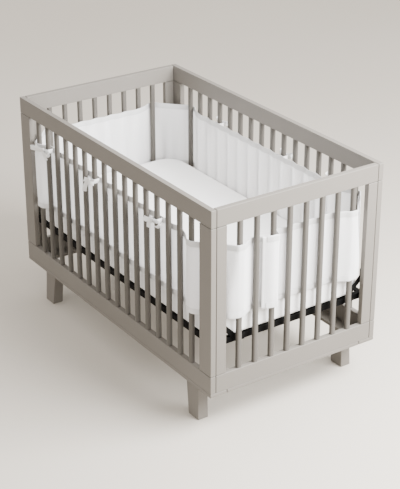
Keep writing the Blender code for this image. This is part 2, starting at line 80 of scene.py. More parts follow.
def finish_of(name, colour, roughness, **more):
    """A material with its shader's own sockets set, and the parts that patterns join."""
    material = bpy.data.materials.new(name)
    material.use_nodes = True
    tree = material.node_tree
    shader = tree.nodes["Principled BSDF"]
    shader.inputs["Base Color"].default_value = (*colour, 1.0)
    shader.inputs["Roughness"].default_value = roughness
    for socket, value in more.items():
        shader.inputs[socket.replace("_", " ")].default_value = value
    return material, tree, shader


def place_in(tree, kind="Object"):
    """The place that a pattern follows: the piece's own X, Y and Z, or its UV map."""
    return wire(tree, "ShaderNodeTexCoord", {}).outputs[kind]


def noise(tree, place, scale, detail):
    """Soft random blotches, which are finer at a larger scale."""
    return wire(tree, "ShaderNodeTexNoise", {"Vector": place, "Scale": scale, "Detail": detail}).outputs[0]


def tone_between(tree, shader, factor, first, second):
    """Colours a shader between two tones, by a factor from 0 to 1, and gives the tone back."""
    inputs = {0: factor, 6: (*first, 1.0), 7: (*second, 1.0)}
    tone = wire(tree, "ShaderNodeMix", inputs, data_type="RGBA").outputs[2]
    tree.links.new(tone, shader.inputs["Base Color"])
    return tone


def relief(tree, shader, height, strength, distance, sunk=False):
    """Raises a shader's surface, or sinks it, where the height pattern is high."""
    inputs = {"Height": height, "Strength": strength, "Distance": distance}
    bump = wire(tree, "ShaderNodeBump", inputs, invert=sunk)
    tree.links.new(bump.outputs[0], shader.inputs["Normal"])


def grey_paint(name, grain, depth=1.0):
    """Warm grey eggshell paint: a faint grain stretched along the board, and soft clouding.

    grain scales the pattern along X, Y and Z, and a depth below 1 darkens the paint as painted shade.
    """
    dark, pale = (tuple(depth * part for part in tone)
                  for tone in ((0.122, 0.112, 0.098), (0.136, 0.125, 0.111)))
    material, tree, shader = finish_of(name, pale, roughness=0.45, Specular_IOR_Level=0.20)
    place = place_in(tree)
    stretched = wire(tree, "ShaderNodeMapping", {"Vector": place, "Scale": grain}).outputs[0]
    fibres = noise(tree, stretched, scale=260.0, detail=4.0)
    clouds = noise(tree, place, scale=5.0, detail=2.0)
    tone_between(tree, shader, clouds, dark, pale)
    shine = wire(tree, "ShaderNodeMapRange", {0: fibres, 3: 0.36, 4: 0.50})
    tree.links.new(shine.outputs[0], shader.inputs["Roughness"])
    relief(tree, shader, fibres, strength=0.10, distance=0.0004)
    return material


PAINT_ALONG_X = grey_paint("grey_paint_along_x", (0.05, 1.0, 1.0))
PAINT_ALONG_Y = grey_paint("grey_paint_along_y", (1.0, 0.05, 1.0))
PAINT_UPRIGHT = grey_paint("grey_paint_upright", (1.0, 1.0, 0.05))
# The slats have the same paint as the rails; their darker tone is painted shade.
SHADED_SLAT_PAINT = grey_paint("grey_paint_slats_painted_shade", (1.0, 1.0, 0.05), depth=0.58)


def piece(name, points, faces, materials, uv=None, sharp=40.0):
    """An object from rows of points and faces, smooth but for edges above the sharp angle."""
    mesh = bpy.data.meshes.new(name)
    mesh.from_pydata(points.tolist(), [], [list(face) for face in faces])
    if uv is not None:
        corner = np.empty(len(mesh.loops), dtype=np.int32)
        mesh.loops.foreach_get("vertex_index", corner)
        layer = mesh.uv_layers.new(name="cloth")
        layer.data.foreach_set("uv", uv[corner].astype(np.float32).ravel())
    mesh.shade_smooth()
    mesh.set_sharp_from_angle(angle=math.radians(sharp))
    for material in materials:
        mesh.materials.append(material)
    made = bpy.data.objects.new(name, mesh)
    bpy.context.scene.collection.objects.link(made)
    return made


def soften(made, width):
    """Rounds the edges of a piece by a bevel, and keeps its faces flat."""
    bevel = made.modifiers.new("sanded", "BEVEL")
    bevel.width = width
    bevel.segments = 3
    bevel.limit_method = "ANGLE"
    bevel.harden_normals = True


def boards(name, corners, materials, slots):
    """Square boards, one for each lowest and highest corner, with their edges sanded round."""
    corners = np.array(corners)
    bits = np.array([(x, y, z) for z in (0, 1) for y in (0, 1) for x in (0, 1)])
    points = corners[:, :1] + bits * (corners[:, 1:] - corners[:, :1])
    box = np.array([(0, 2, 3, 1), (4, 5, 7, 6), (0, 1, 5, 4), (2, 6, 7, 3), (0, 4, 6, 2), (1, 3, 7, 5)])
    faces = box[None] + len(bits) * np.arange(len(corners))[:, None, None]
    made = piece(name, points.reshape(-1, 3), faces.reshape(-1, 4), materials)
    made.data.polygons.foreach_set("material_index", np.repeat(slots, len(box)))
    soften(made, EASED_EDGE)
    return made


def rounded_outline(length, width, radius, steps):
    """A rectangle in plan whose corners are quarter circles, anticlockwise from +X."""
    turn = (np.arange(4)[:, None] + np.linspace(0, 1, steps + 1)) * math.pi / 2
    signs = np.array([(1, 1), (-1, 1), (-1, -1), (1, -1)])
    middle = signs * (length / 2 - radius, width / 2 - radius)
    outline = middle[:, None] + radius * np.stack([np.cos(turn), np.sin(turn)], axis=-1)
    return outline.reshape(-1, 2)


def grid_faces(rows, columns, round_columns=False, round_rows=False):
    """The four-cornered faces of a grid of points that are numbered row by row."""
    number = np.arange(rows * columns).reshape(rows, columns)
    if round_rows:
        number = np.vstack([number, number[:1]])
    if round_columns:
        number = np.hstack([number, number[:, :1]])
    corners = [number[:-1, :-1], number[:-1, 1:], number[1:, 1:], number[1:, :-1]]
    return np.stack(corners, axis=-1).reshape(-1, 4)


def closed_tube(rows, columns):
    """The faces of rings of points, each joined to the next, with a flat face on each end.

    They point outwards where the rings run anticlockwise as seen from the last one.
    """
    ends = [list(range(columns))[::-1], list(range((rows - 1) * columns, rows * columns))]
    return grid_faces(rows, columns, round_columns=True).tolist() + ends


def carried(outline, reach, axis):
    """An outline carried straight along X (axis 0), Y (1) or Z (2), from one place to another.

    Its faces point outwards where the outline runs anticlockwise and the second place is
    the higher one.
    """
    points = np.insert(np.tile(outline, (2, 1)), axis, np.repeat(reach, len(outline)), axis=1)
    faces = closed_tube(2, len(outline))
    return points, [face[::-1] for face in faces] if axis == 1 else faces


def joined(shapes):
    """The points and faces of several shapes as those of one."""
    starts = np.cumsum([0] + [len(points) for points, _ in shapes])
    faces = [[point + start for point in face]
             for (_, own_faces), start in zip(shapes, starts) for face in own_faces]
    return np.vstack([points for points, _ in shapes]), faces


def slat_places(inner_span, count):
    """Middles of a side's slats, with equal gaps between them and the posts."""
    gap = (inner_span - count * SLAT_WIDTH) / (count + 1)
    return -inner_span / 2 + gap + SLAT_WIDTH / 2 + np.arange(count) * (gap + SLAT_WIDTH)


LONG_PLACES = slat_places(CRIB_LENGTH - 2 * LONG_POST, LONG_SLATS)
SHORT_PLACES = slat_places(2 * INNER_Y - 2 * SHORT_POST, SHORT_SLATS)


def slats(name, middles, size):
    """Upright slats: a rounded rectangle in plan at each middle, carried from rail to rail."""
    outline = rounded_outline(*size, SLAT_ROUND, 5)
    reach = (RAIL_TOP - TENON, HEAD_LOW + TENON)
    shape = joined([carried(outline + middle, reach, 2) for middle in middles])
    return piece(name, *shape, [SHADED_SLAT_PAINT])


for label, sign in (("front", -1), ("back", 1)):
    low, high = sorted((sign * INNER_Y, sign * HALF_WIDTH))
    made = boards(f"{label}_side_boards", [
        ((-HALF_LENGTH, low, RAIL_LOW), (HALF_LENGTH, high, RAIL_TOP)),
        ((-HALF_LENGTH, low, HEAD_LOW), (HALF_LENGTH, high, CRIB_HEIGHT)),
        ((-HALF_LENGTH, low, POST_LOW), (-HALF_LENGTH + LONG_POST, high, POST_TOP)),
        ((HALF_LENGTH - LONG_POST, low, POST_LOW), (HALF_LENGTH, high, POST_TOP)),
    ], [PAINT_ALONG_X, PAINT_UPRIGHT], [0, 0, 1, 1])
    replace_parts(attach(made, "root"), f"crib_side_{label}")
    middles = [(x, sign * (INNER_Y + BOARD / 2)) for x in LONG_PLACES]
    made = slats(f"{label}_side_slats", middles, (SLAT_WIDTH, SLAT_DEPTH))
    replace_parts(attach(made, "root"), f"crib_side_{label}")

for label, sign in (("near", 1), ("far", -1)):
    low, high = sorted((sign * INNER_X, sign * HALF_LENGTH))
    reach = INNER_Y - JOINT
    made = boards(f"{label}_end_boards", [
        ((low, -reach, RAIL_LOW), (high, reach, RAIL_TOP)),
        ((low, -reach, HEAD_LOW), (high, reach, CRIB_HEIGHT)),
        ((low, -reach, POST_LOW), (high, -INNER_Y + SHORT_POST, POST_TOP)),
        ((low, INNER_Y - SHORT_POST, POST_LOW), (high, reach, POST_TOP)),
    ], [PAINT_ALONG_Y, PAINT_UPRIGHT], [0, 0, 1, 1])
    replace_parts(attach(made, "root"), f"crib_end_{label}")
    middles = [(sign * (INNER_X + BOARD / 2), y) for y in SHORT_PLACES]
    made = slats(f"{label}_end_slats", middles, (SLAT_DEPTH, SLAT_WIDTH))
    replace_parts(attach(made, "root"), f"crib_end_{label}")


# ------------------------------------------------------------------ base boards and legs
# Flat boards under the four sides, screwed up into the bottom rails, and four tapered
# hardwood legs that are screwed to the long base boards and splay a little outwards.
BASE_LOW, BASE_TOP, BASE_WIDTH = 0.154, 0.168, 0.071
LEG_FLOOR_X, LEG_TOP_X = (0.514, 0.577), (0.492, 0.571)
LEG_FLOOR_Y, LEG_TOP_Y = (0.3145, 0.360), (0.3145, 0.355)
LEG_EDGE = 0.0030                   # radius of a leg's sanded edges
CORNERS = (("front_near", 1, -1), ("front_far", -1, -1), ("back_near", 1, 1), ("back_far", -1, 1))

for label, sign in (("front", -1), ("back", 1)):
    low, high = sorted((sign * HALF_WIDTH, sign * (HALF_WIDTH - BASE_WIDTH)))
    corners = ((-HALF_LENGTH, low, BASE_LOW), (HALF_LENGTH, high, BASE_TOP))
    made = boards(f"{label}_base_board", [corners], [PAINT_ALONG_X], [0])
    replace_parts(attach(made, "root"), f"base_board_{label}")
for label, sign in (("near", 1), ("far", -1)):
    low, high = sorted((sign * HALF_LENGTH, sign * (HALF_LENGTH - BASE_WIDTH)))
    reach = HALF_WIDTH - BASE_WIDTH - JOINT
    corners = ((low, -reach, BASE_LOW), (high, reach, BASE_TOP))
    made = boards(f"{label}_base_board", [corners], [PAINT_ALONG_Y], [0])
    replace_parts(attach(made, "root"), f"base_board_{label}")


def leg_shape():
    """A rectangle on the floor, joined to the one that meets the base board."""
    levels = ((LEG_FLOOR_X, LEG_FLOOR_Y, 0.0), (LEG_TOP_X, LEG_TOP_Y, BASE_LOW - JOINT))
    rings = [(x[i], y[j], z) for x, y, z in levels for i, j in ((0, 0), (1, 0), (1, 1), (0, 1))]
    return np.array(rings), closed_tube(2, 4)


def mirrored(shape, signs):
    """A shape times 1 or -1 along X, Y and Z, whose faces still point outwards."""
    points, faces = shape
    return points * signs, [face[::-1] for face in faces] if np.prod(signs) < 0 else faces


for label, sign_x, sign_y in CORNERS:
    made = piece(f"{label}_leg", *mirrored(leg_shape(), (sign_x, sign_y, 1)), [PAINT_UPRIGHT])
    soften(made, LEG_EDGE)
    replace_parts(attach(made, "root"), f"leg_{label}")


# ------------------------------------------------------------------ mattress support
# Black powder-coated steel: four angle bars under the mattress's edges, and at each corner
# a flat hanger that slopes up from the end bar to a tab bolted to the post through a block.
SUPPORT_X, SUPPORT_Y = 0.650, 0.3455            # outer faces of the bars
BAR_TOP, BAR_LOW = 0.3577, 0.3347
BAR_WIDTH, STEEL = 0.020, 0.0026                # a bar's leg across, and its thickness
STEEL_GAP, STEEL_EDGE = 0.0003, 0.0006          # between touching pieces, and an edge's radius
HANGER_THICK = 0.004
ARM_START, ARM_LOW_BEND, ARM_TOP_BEND = 0.212, 0.2453, 0.2412   # from the crib's middle, along Y
TAB_IN, TAB_OUT, TAB_TOP = 0.318, 0.350, 0.462
ARM_MEETS_OUT, ARM_MEETS_IN = 0.4373, 0.4345    # heights where the arm's edges reach the tab's
TAB_BOLT, BAR_BOLT = (0.334, 0.448), (0.227, 0.346)
BOLT_RADIUS, BLOCK_HALF = 0.0050, 0.010


def black_metal():
    """Black powder coat: a fine orange-peel grain, a little worn to grey in patches."""
    black = (0.002, 0.002, 0.002)
    material, tree, shader = finish_of("black_powder_coat", black, roughness=0.50, Specular_IOR_Level=0.08)
    place = place_in(tree)
    wear = noise(tree, place, scale=22.0, detail=3.0)
    peel = noise(tree, place, scale=900.0, detail=2.0)
    tone_between(tree, shader, wear, (0.001, 0.001, 0.001), (0.003, 0.003, 0.003))
    relief(tree, shader, peel, strength=0.25, distance=0.0002)
    return material


BLACK = black_metal()


def angle_bar(name, along_x, sign):
    """An L-shaped section, carried straight along one side; its flange lies under the top."""
    half = SUPPORT_X if along_x else SUPPORT_Y - BAR_WIDTH - STEEL_GAP
    face = SUPPORT_Y if along_x else SUPPORT_X
    tip, under = face - BAR_WIDTH, BAR_TOP - STEEL
    section = [(face, BAR_LOW), (face, BAR_TOP), (tip, BAR_TOP), (tip, under),
               (face - STEEL, under), (face - STEEL, BAR_LOW)]
    bar = carried(section, (-half, half), 0 if along_x else 1)
    made = piece(name, *mirrored(bar, (1, sign, 1) if along_x else (sign, 1, 1)), [BLACK], sharp=30.0)
    soften(made, STEEL_EDGE)
    return made


def bolt_head(centre):
    """A domed bolt head that faces -X: a quarter circle from crown to rim, turned about X."""
    turn = np.linspace(0, 2 * math.pi, 16, endpoint=False)
    rise = np.linspace(0, math.pi / 2, 4, endpoint=False)[::-1, None]
    out = BOLT_RADIUS * np.vstack([0.35 + 0.45 * np.sin(rise), [[0.0]]])
    radius = BOLT_RADIUS * np.vstack([np.cos(rise), [[1.0]]])
    rings = np.stack(np.broadcast_arrays(-out, radius * np.cos(turn), radius * np.sin(turn)), axis=-1)
    return rings.reshape(-1, 3) + centre, closed_tube(len(out), len(turn))


def hanger(name, sign_x, sign_y):
    """A flat plate cut to a sloping arm with a tab, its block beside the post, and two bolts."""
    inner, outer = SUPPORT_X + STEEL_GAP, SUPPORT_X + STEEL_GAP + HANGER_THICK
    outline = [(ARM_START, BAR_LOW), (ARM_LOW_BEND, BAR_LOW), (TAB_OUT, ARM_MEETS_OUT), (TAB_OUT, TAB_TOP),
               (TAB_IN, TAB_TOP), (TAB_IN, ARM_MEETS_IN), (ARM_TOP_BEND, BAR_TOP), (ARM_START, BAR_TOP)]
    square = np.array(TAB_BOLT) + BLOCK_HALF * np.array([(-1, -1), (1, -1), (1, 1), (-1, 1)])
    shapes = [carried(outline, (inner, outer), 0), bolt_head((inner, *TAB_BOLT)),
              bolt_head((inner, *BAR_BOLT)), carried(square, (outer, INNER_X - STEEL_GAP), 0)]
    made = piece(name, *mirrored(joined(shapes), (sign_x, sign_y, 1)), [BLACK], sharp=50.0)
    soften(made, STEEL_EDGE)
    return made


for label, along_x, sign in (("front", True, -1), ("back", True, 1),
                             ("near", False, 1), ("far", False, -1)):
    made = angle_bar(f"{label}_angle_bar", along_x, sign)
    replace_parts(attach(made, "root"), f"support_bar_{label}")
for label, sign_x, sign_y in CORNERS:
    made = hanger(f"{label}_hanger_plate", sign_x, sign_y)
    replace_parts(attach(made, "root"), f"hanger_{label}")


# ------------------------------------------------------------------ mattress
# A foam mattress 120 mm thick in a fitted white cotton sheet, whose elastic hem gathers
# the sides into soft upright creases, most of all at the four rounded corners.
MATTRESS_LENGTH, MATTRESS_WIDTH, MATTRESS_CORNER = 1.296, 0.688, 0.080
MATTRESS_LOW, MATTRESS_TOP, MATTRESS_EDGE = 0.358, 0.478, 0.018
CREASE_TOP, CREASE_GROWTH = 0.03, 0.09          # from the top to a crease's end, and on to its full depth
CREASED_AT = (0.60, 0.30)           # in plan, the middle of a corner's creases


def cotton_sheet():
    """Plain woven cotton: threads crossing at half a millimetre, over a soft unevenness."""
    white = (0.80, 0.80, 0.80)
    material, tree, shader = finish_of("cotton_sheet", white, roughness=0.85, Sheen_Weight=0.25)
    place = place_in(tree)
    waves = {"Vector": place, "Scale": 620.0}
    warp, weft = (wire(tree, "ShaderNodeTexWave", waves, bands_direction=way).outputs[1] for way in "XY")
    weave = wire(tree, "ShaderNodeMath", {0: warp, 1: weft}, operation="MULTIPLY")
    clouds = noise(tree, place, scale=9.0, detail=3.0)
    tone_between(tree, shader, clouds, (0.77, 0.765, 0.755), (0.84, 0.84, 0.84))
    relief(tree, shader, weave.outputs[0], strength=0.25, distance=0.0002)
    return material


def mattress_rings():
    """The slab's section, as (inset, height): in under it, up its side, and in over its top."""
    edge = MATTRESS_EDGE
    bend = np.linspace(0, math.pi / 2, 7)
    flat = [(MATTRESS_WIDTH / 2 * share, MATTRESS_LOW) for share in (0.97, 0.80, 0.60, 0.40, 0.22, 0.10)]
    lower = flat + list(zip(edge * (1 - np.sin(bend)), MATTRESS_LOW + edge * (1 - np.cos(bend))))
    side = [(0.0, z) for z in np.linspace(MATTRESS_LOW + edge, MATTRESS_TOP - edge, 9)[1:-1]]
    upper = [(inset, MATTRESS_LOW + MATTRESS_TOP - z) for inset, z in lower[::-1]]
    return np.array(lower + side + upper)


def mattress_outline():
    """The slab in plan, with points along its straight sides as well as round its corners."""
    steps = 26
    corners = rounded_outline(MATTRESS_LENGTH, MATTRESS_WIDTH, MATTRESS_CORNER, steps)
    corners = corners.reshape(4, steps + 1, 2)
    parts = []
    for corner, following, count in zip(corners, np.roll(corners, -1, axis=0), (90, 50, 90, 50)):
        share = np.linspace(0, 1, count + 1)[1:-1, None]
        parts += [corner, corner[-1] + share * (following[0] - corner[-1])]
    return np.vstack(parts)


def mattress_shape():
    """Rings of the outline, each drawn in towards the slab's middle line, at its height.

    The side's creases move a ring outwards by a sum of three waves round the outline.  They
    grow downwards, and are over three times as deep at the corners as along the sides.  The
    top rises and falls by a third of a millimetre.
    """
    inset, height = mattress_rings().T
    outline = mattress_outline()
    half_line = (MATTRESS_LENGTH - MATTRESS_WIDTH) / 2
    inwards = np.clip(outline, (-half_line, 0), (half_line, 0)) - outline
    inwards /= np.abs(inwards).max(axis=1, keepdims=True)
    step = np.linalg.norm(np.roll(outline, -1, axis=0) - outline, axis=1)
    around = (np.cumsum(step) - step) / step.sum() * 2 * math.pi
    crease = 0.0002 * np.sin(61 * around + 2 * np.sin(7 * around)) + 0.0004 * np.sin(23 * around + 1.1)
    crease = crease + 0.0001 * np.sin(140 * around + 3 * np.sin(11 * around))
    from_corner = ((np.abs(outline) - CREASED_AT)**2).sum(axis=1)
    crease = crease * (0.5 + 1.2 * np.exp(-from_corner / 0.006))
    outward = -inwards / np.linalg.norm(inwards, axis=1, keepdims=True)
    growth = np.clip((MATTRESS_TOP - CREASE_TOP - height) / CREASE_GROWTH, 0, 1) * (inset < MATTRESS_EDGE)
    plan = outline + inwards * inset[:, None, None] + outward * crease[:, None] * growth[:, None, None]
    on_top = (height >= MATTRESS_TOP - 1e-6)[:, None]
    swell = 0.0003 * np.sin(9 * plan[..., 0] + 2) * np.sin(13 * plan[..., 1]) * on_top
    points = np.concatenate([plan, (height[:, None] + swell)[..., None]], axis=-1)
    return points.reshape(-1, 3), closed_tube(*plan.shape[:2])


mattress = piece("mattress_in_sheet", *mattress_shape(), [cotton_sheet()], sharp=60.0)
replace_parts(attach(mattress, "root"), "mattress")


# ------------------------------------------------------------------ where the liner runs
# One strip goes right round the crib.  It passes inside the slats, but outside the slat on
# each side of a corner, and its two ends lap over the third slat of the near end.
LINER_LOW, LINER_TOP = 0.446, 0.728
INSIDE, OUTSIDE = 0.0060, 0.0042    # cloth's middle to a post's inner face, and to a covered slat
FOLD_OUT = 0.0018                   # cloth's way out at a slat that nothing ties it to
FOLD_IN_LOW, FOLD_IN_TOP = 0.0022, 0.0045       # its way in between two slats, at each edge
SHOULDER, ARCH = 0.0135, 0.0006     # half the cloth's run over a slat, and its arch there
FRONT_TIED, BACK_TIED = (1, 6, 12), (3, 9, 13)
LAP_SLAT, LAP = 2, 0.0050           # where the ends lap, and how far one lies over the other
UNDER_REACH, OVER_REACH = 0.012, 0.036          # the ends past that slat's middle
OVER_IN = 0.0090                    # how far the upper end turns in again
LAP_TURN, LAP_INSIDE = 0.0200, 0.0310           # where the cloth over the lap turns in, and is inside
PAST_MATTRESS = 0.0062              # cloth's middle from the mattress's corner
PATH_STEPS, CLOTH_STEP = 24, 0.0050             # steps between two stops, and along the cloth


def side_stops(places, inner_face, outside, tied=()):
    """Stops along a side, as (along, low offset, top offset) from the crib's middle."""
    inside = inner_face - INSIDE
    over = inner_face + SLAT_FACE + OUTSIDE
    crossing = ((inside + over) / 2, (inside + over) / 2)
    folded_in = (inside - FOLD_IN_LOW, inside - FOLD_IN_TOP)
    half_pitch = (places[1] - places[0]) / 2
    stops = []
    for index, place in enumerate(places):
        if index in outside:
            stops += [(place + step, over - drop, over - drop)
                      for step, drop in ((-SHOULDER, ARCH), (0.0, 0.0), (SHOULDER, ARCH))]
        elif index in tied:
            stops += [(place + step, inside, inside) for step in (-SHOULDER, 0.0, SHOULDER)]
        else:
            stops.append((place, inside + FOLD_OUT, inside + FOLD_OUT))
        if index == LAP_SLAT and index in outside:
            stops += [(place + LAP_TURN, *crossing), (place + LAP_INSIDE, *folded_in)]
        elif index + 1 < len(places):
            crosses = (index in outside) != (index + 1 in outside)
            stops.append((place + half_pitch, *(crossing if crosses else folded_in)))
    return stops


def corner_stops():
    """Low down the cloth goes round the mattress's corner; its upper edge cuts across it."""
    turn = np.radians((30, 45, 60))
    middle = (MATTRESS_LENGTH / 2 - MATTRESS_CORNER, MATTRESS_WIDTH / 2 - MATTRESS_CORNER)
    bend = middle + (MATTRESS_CORNER + PAST_MATTRESS) * np.stack([np.cos(turn), np.sin(turn)], axis=1)
    low = [(0.6700, 0.2945), *bend, (0.5840, 0.3665)]
    top = [(0.6665, 0.2800), (0.6445, 0.2990), (0.6215, 0.3195), (0.6000, 0.3410), (0.5795, 0.3625)]
    return np.stack([low, top], axis=1)


def liner_stops():
    """Stops of the lower and the upper edge: under the lap, front, far end, back, over the lap."""
    long_ends, short_ends = (0, LONG_SLATS - 1), (0, SHORT_SLATS - 1)
    front = side_stops(LONG_PLACES, INNER_Y, long_ends, FRONT_TIED)
    back = side_stops(LONG_PLACES, INNER_Y, long_ends, BACK_TIED)
    far = side_stops(SHORT_PLACES, INNER_X, short_ends)
    near = side_stops(SHORT_PLACES, INNER_X, (*short_ends, LAP_SLAT))
    corner = corner_stops()
    lap_place = SHORT_PLACES[LAP_SLAT]

    def along_y(stops, sign, lift=0.0):
        return [((sign * (low + lift), y), (sign * (top + lift), y)) for y, low, top in stops]

    def along_x(stops, sign):
        return [((x, sign * low), (x, sign * top)) for x, low, top in stops]

    reach = SHOULDER + 0.0007       # just past the shoulders of the lap's slat
    under = [stop for stop in near if stop[0] < lap_place + UNDER_REACH]
    after = [stop for stop in near if stop[0] > lap_place + reach]
    over = [stop for stop in near if abs(stop[0] - lap_place) <= reach]
    under_end = (lap_place + UNDER_REACH, *under[-1][1:])
    over_end = (lap_place - OVER_REACH, *(offset - OVER_IN for offset in over[0][1:]))
    parts = [along_y([under_end, *under[::-1]], 1), corner * (1, -1), along_x(front[::-1], -1),
             corner[::-1] * (-1, -1), along_y(far, -1), corner * (-1, 1), along_x(back, 1), corner[::-1],
             along_y(after[::-1], 1), along_y([*over[::-1], over_end], 1, LAP)]
    return np.vstack([np.array(part) for part in parts])


def smooth_path(stops):
    """Cubic stretches through the stops, with the slope of the chord between neighbours."""
    gaps = np.linalg.norm(np.diff(stops, axis=0), axis=1)
    slopes = np.empty_like(stops)
    slopes[1:-1] = (stops[2:] - stops[:-2]) / (gaps[1:] + gaps[:-1])[:, None]
    slopes[0] = (stops[1] - stops[0]) / gaps[0]
    slopes[-1] = (stops[-1] - stops[-2]) / gaps[-1]
    t = (np.arange(PATH_STEPS) / PATH_STEPS)[None, :, None]
    reach = gaps[:, None, None]
    curve = ((2 * t**3 - 3 * t**2 + 1) * stops[:-1, None] + (3 * t**2 - 2 * t**3) * stops[1:, None]
             + (t**3 - 2 * t**2 + t) * reach * slopes[:-1, None] + (t**3 - t**2) * reach * slopes[1:, None])
    return np.vstack([curve.reshape(-1, 2), stops[-1:]])


stops = liner_stops()
low_path, top_path = smooth_path(stops[:, 0]), smooth_path(stops[:, 1])
run = np.concatenate([[0.0], np.cumsum(np.linalg.norm(np.diff(low_path, axis=0), axis=1))])
LINER_LENGTH = run[-1]
along_cloth = np.linspace(0, LINER_LENGTH, int(LINER_LENGTH / CLOTH_STEP) + 1)


def cloth_points(places, heights, offsets):
    """Points of the cloth: its path at a height, moved out from the crib by an offset.

    places, heights and offsets are grids of one shape.  The path is the lower edge's beside
    the mattress and eases to the upper edge's above it.
    """
    share = np.clip((heights - MATTRESS_TOP) / (LINER_TOP - MATTRESS_TOP), 0, 1)
    share = (share * share * (3 - 2 * share))[..., None]

    def plan_at(way):
        low, top = (np.stack([np.interp(way, run, path[:, 0]), np.interp(way, run, path[:, 1])], axis=-1)
                    for path in (low_path, top_path))
        return low + (top - low) * share

    end = np.clip(places, 0, LINER_LENGTH)
    past = (places - end)[..., None]
    before, after = np.maximum(end - CLOTH_STEP, 0), np.minimum(end + CLOTH_STEP, LINER_LENGTH)
    tangent = plan_at(after) - plan_at(before)
    tangent /= np.linalg.norm(tangent, axis=-1, keepdims=True)
    outward = np.stack([-tangent[..., 1], tangent[..., 0]], axis=-1)
    plan = plan_at(end) + tangent * past + outward * offsets[..., None]
    return np.concatenate([plan, heights[..., None]], axis=-1)


# ------------------------------------------------------------------ the liner's mesh panel
# A warp-knitted polyester mesh, white and soft, 276 mm tall before its edges are bound.  It
# is held only by its weave round the slats and by the ties, so it creases at each slat and
# stands in shallow waves between them.
PANEL_LOW, PANEL_TOP = LINER_LOW + 0.003, LINER_TOP - 0.003     # raw edges, inside the bindings
MESH_THICK = 0.0016
KNIT_PITCH = (0.0022, 0.0026)       # between its holes, along and up the cloth
END_REACH = 0.0143                  # how far the end binding runs past the path
PLEAT = 0.0024                      # depth of the crease at a slat
PUCKER_IN, PUCKER_SPREAD, PUCKER_PITCH = 0.030, 0.016, 0.013    # from an edge, and along it


def let_through(tree, shader, tone, share):
    """Lets a share of the light that falls on the far side of a thin cloth come through it."""
    behind = wire(tree, "ShaderNodeBsdfTranslucent", {"Color": tone})
    both = wire(tree, "ShaderNodeMixShader", {0: share, 1: shader.outputs[0], 2: behind.outputs[0]})
    tree.links.new(both.outputs[0], tree.nodes["Material Output"].inputs["Surface"])


def knitted_mesh():
    """Rows of small holes in a white knit: the product of two waves along and up the cloth."""
    white = (0.86, 0.86, 0.86)
    material, tree, shader = finish_of("knitted_mesh", white, roughness=0.88, Sheen_Weight=0.35)
    parts = wire(tree, "ShaderNodeSeparateXYZ", {"Vector": place_in(tree, "UV")})
    waves = []
    for part, pitch in zip(parts.outputs, KNIT_PITCH):
        turns = wire(tree, "ShaderNodeMath", {0: part, 1: 2 * math.pi / pitch}, operation="MULTIPLY")
        waves.append(wire(tree, "ShaderNodeMath", {0: turns.outputs[0]}, operation="SINE").outputs[0])
    product = wire(tree, "ShaderNodeMath", {0: waves[0], 1: waves[1]}, operation="MULTIPLY").outputs[0]
    hole = wire(tree, "ShaderNodeMapRange", {0: product, 1: 0.25, 2: 0.75}).outputs[0]
    tone = tone_between(tree, shader, hole, (0.91, 0.91, 0.915), (0.80, 0.80, 0.81))
    relief(tree, shader, product, strength=0.35, distance=0.0004, sunk=True)
    let_through(tree, shader, tone, share=0.50)
    return material


def pleats(places):
    """Creases of 1 at the slats, which fall to 0 in a round bulge between each two of them."""
    x, y = (np.interp(places, run, low_path[:, axis]) for axis in (0, 1))
    slats_along_x, slats_along_y = ((at - middles[0]) / (middles[1] - middles[0])
                                    for at, middles in ((x, LONG_PLACES), (y, SHORT_PLACES)))
    turns = np.where(np.abs(y) > MATTRESS_WIDTH / 2, slats_along_x, slats_along_y)
    return (1 - np.abs(np.sin(math.pi * turns)))**1.4


def panel_waves(places, heights):
    """How far the panel stands out: pleats, slow waves, and fine puckers beside each binding.

    The pleats and the waves fade to nothing before they reach a binding.
    """
    share = (heights - LINER_LOW) / (LINER_TOP - LINER_LOW)
    slow = PLEAT * pleats(places + 0.004 * np.sin(3 * share + 31 * places))
    slow = slow + 0.0011 * np.sin(58 * places + 1.8 * np.sin(9 * places) + 0.8 * share)
    slow = slow + 0.0007 * np.sin(131 * places + 2.0 * np.sin(13 * places) - 0.6 * share)
    fade = np.clip(12 * (share - 0.08), 0, 1) * np.clip(12 * (0.92 - share), 0, 1)
    beside = sum(np.exp(-((heights - middle) / PUCKER_SPREAD)**2)
                 for middle in (LINER_TOP - PUCKER_IN, LINER_LOW + PUCKER_IN))
    puckers = 0.00035 * np.sin(2 * math.pi * places / PUCKER_PITCH + 3 * np.sin(17 * places)) * beside
    return slow * fade + puckers


def add_wall(made, thickness):
    """Gives a surface its thickness, half to each side, and closes its rim."""
    wall = made.modifiers.new("thickness", "SOLIDIFY")
    wall.thickness = thickness
    wall.offset = 0.0
    wall.use_rim = True


panel_places = np.append(along_cloth, LINER_LENGTH + 0.6 * END_REACH)
places, heights = np.meshgrid(panel_places, np.linspace(PANEL_LOW, PANEL_TOP, 31))
panel_points = cloth_points(places, heights, panel_waves(places, heights))
panel = piece("mesh_panel", panel_points.reshape(-1, 3), grid_faces(*places.shape), [knitted_mesh()],
              uv=np.stack([places, heights], axis=-1).reshape(-1, 2), sharp=180.0)
add_wall(panel, MESH_THICK)
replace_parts(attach(panel, "root"), "liner_panel")


# ------------------------------------------------------------------ bindings
# Satin strips folded over the panel's raw edges and sewn through with one row of stitches:
# along the top, along the bottom, and up the end that lies over the lap.
BINDING_HEIGHT, END_HEIGHT = 0.022, 0.0140      # from the folded edge to the leaves' raw ones
BINDING_SWELL = 0.0016              # leaf's middle from the panel's middle
END_SWELL = 1.05                    # how much further out the end binding's leaves stand
STITCH_INSET = 0.0026               # stitches from a leaf's edge
RIPPLE_PITCH = 0.011                # between the ripples that the stitches draw
SATIN_THICK = 0.0005


